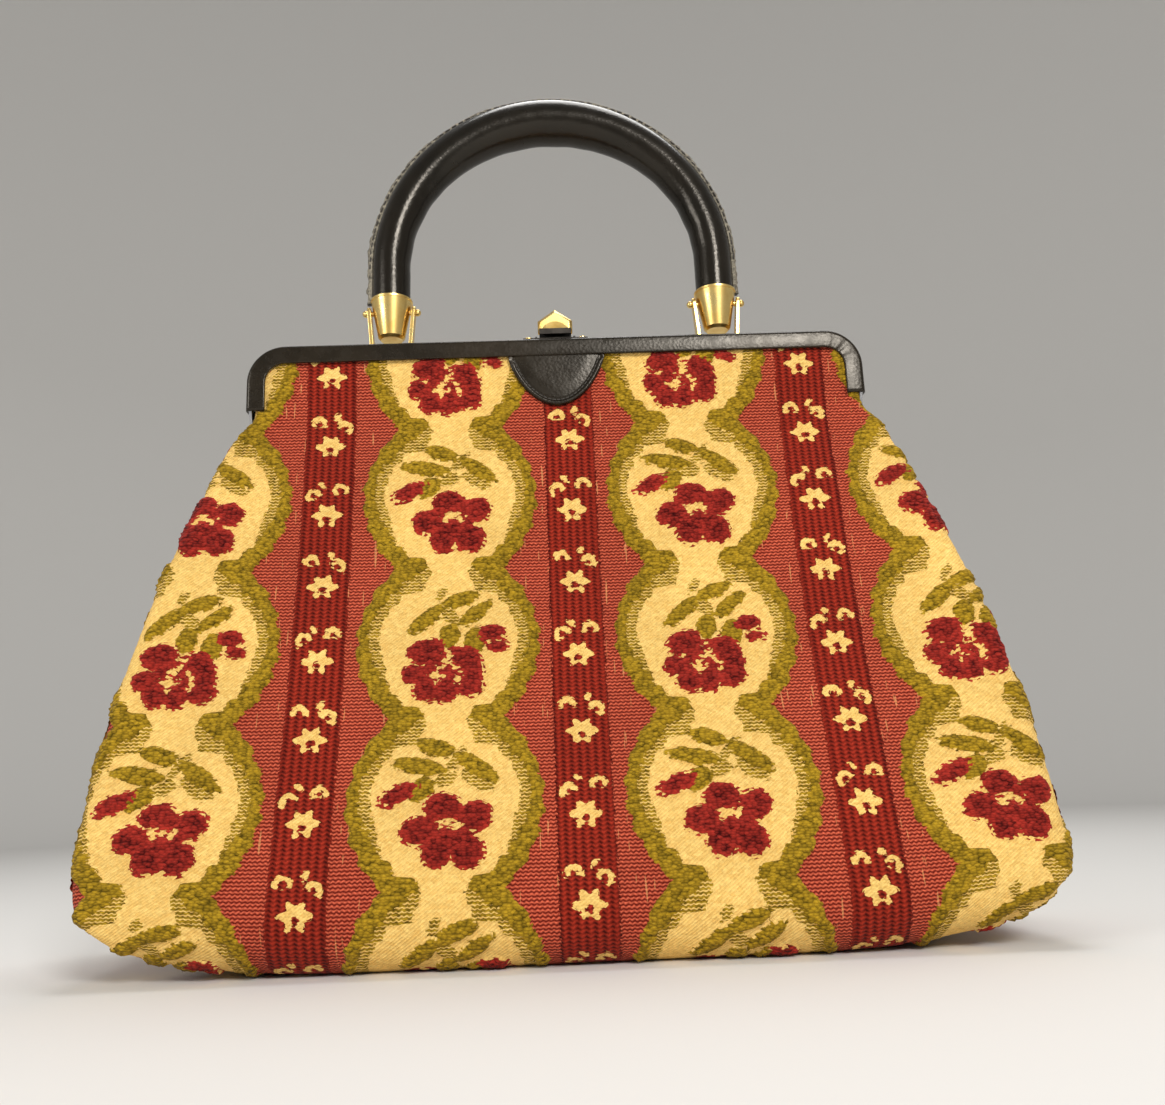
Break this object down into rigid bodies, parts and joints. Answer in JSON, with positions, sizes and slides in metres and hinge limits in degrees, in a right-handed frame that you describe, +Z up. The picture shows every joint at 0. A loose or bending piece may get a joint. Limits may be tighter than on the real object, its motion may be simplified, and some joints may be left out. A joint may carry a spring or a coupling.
{
  "type": "frame handbag",
  "caption": "Tapestry cloth handbag on a hinged leather-covered frame, with a rolled leather arch handle on brass fittings and a brass clasp.",
  "frame": {"origin": "under the middle of the base, on the surface that the bag stands on", "axes": "+Z up, +X along the bag's width to the right seen from the front, front towards -Y"},
  "size_m": [0.304, 0.098, 0.3243],
  "materials": {
    "tapestry": "chenille tapestry weave with raised pile",
    "lining": "plain woven lining",
    "board": "grey card",
    "frame_steel": "plain steel strip",
    "black_leather": "smooth black leather, slightly worn",
    "filler": "twisted cord filler",
    "brass": "polished, lightly tarnished",
    "dark_steel": "blackened"
  },
  "bodies": {
    "bag": {"front_panel": "tapestry", "back_panel": "tapestry", "left_gusset": "tapestry", "right_gusset": "tapestry", "front_lining": "lining", "back_lining": "lining", "left_gusset_lining": "lining", "right_gusset_lining": "lining", "base_board": "board", "left_hinge_rivet": "brass", "right_hinge_rivet": "brass"},
    "front_frame": {"front_frame_bar": "frame_steel", "front_frame_cover": "black_leather", "front_tab": "black_leather", "front_rivets": "brass", "clasp_catch": "dark_steel"},
    "back_frame": {"back_frame_bar": "frame_steel", "back_frame_cover": "black_leather", "left_bracket": "brass", "right_bracket": "brass", "left_handle_pin": "brass", "right_handle_pin": "brass", "back_rivets": "brass", "clasp_base": "dark_steel", "clasp_pin": "brass", "clasp_spring": "frame_steel"},
    "handle": {"handle_core": "filler", "handle_cover": "black_leather", "left_ferrule": "brass", "right_ferrule": "brass"},
    "clasp": {"clasp_lever": "dark_steel", "clasp_head": "brass"}
  },
  "joints": [
    {"name": "front_frame_open", "type": "hinge", "parent": "bag", "child": "front_frame", "pos_m": [0, 0, 0.187], "axis": [1, 0, 0], "range_deg": [0, 45], "deforming": ["front_panel", "back_panel", "front_lining", "back_lining"]},
    {"name": "back_frame_open", "type": "hinge", "parent": "bag", "child": "back_frame", "pos_m": [0, 0, 0.187], "axis": [1, 0, 0], "range_deg": [-45, 0], "deforming": ["front_panel", "back_panel", "front_lining", "back_lining"]},
    {"name": "handle_swing", "type": "hinge", "parent": "back_frame", "child": "handle", "pos_m": [0, 0.00358, 0.2333], "axis": [1, 0, 0], "range_deg": [-105, 105]},
    {"name": "clasp_press", "type": "hinge", "parent": "back_frame", "child": "clasp", "pos_m": [0, 0.00447, 0.2206], "axis": [-1, 0, 0], "range_deg": [0, 20], "stiffness_Nm_per_rad": 0.02, "springref_deg": -11.46, "deforming": ["clasp_spring"]}
  ],
  "couplings": [
    {"joint": "back_frame_open", "follows": "front_frame_open", "ratio": -1}
  ]
}
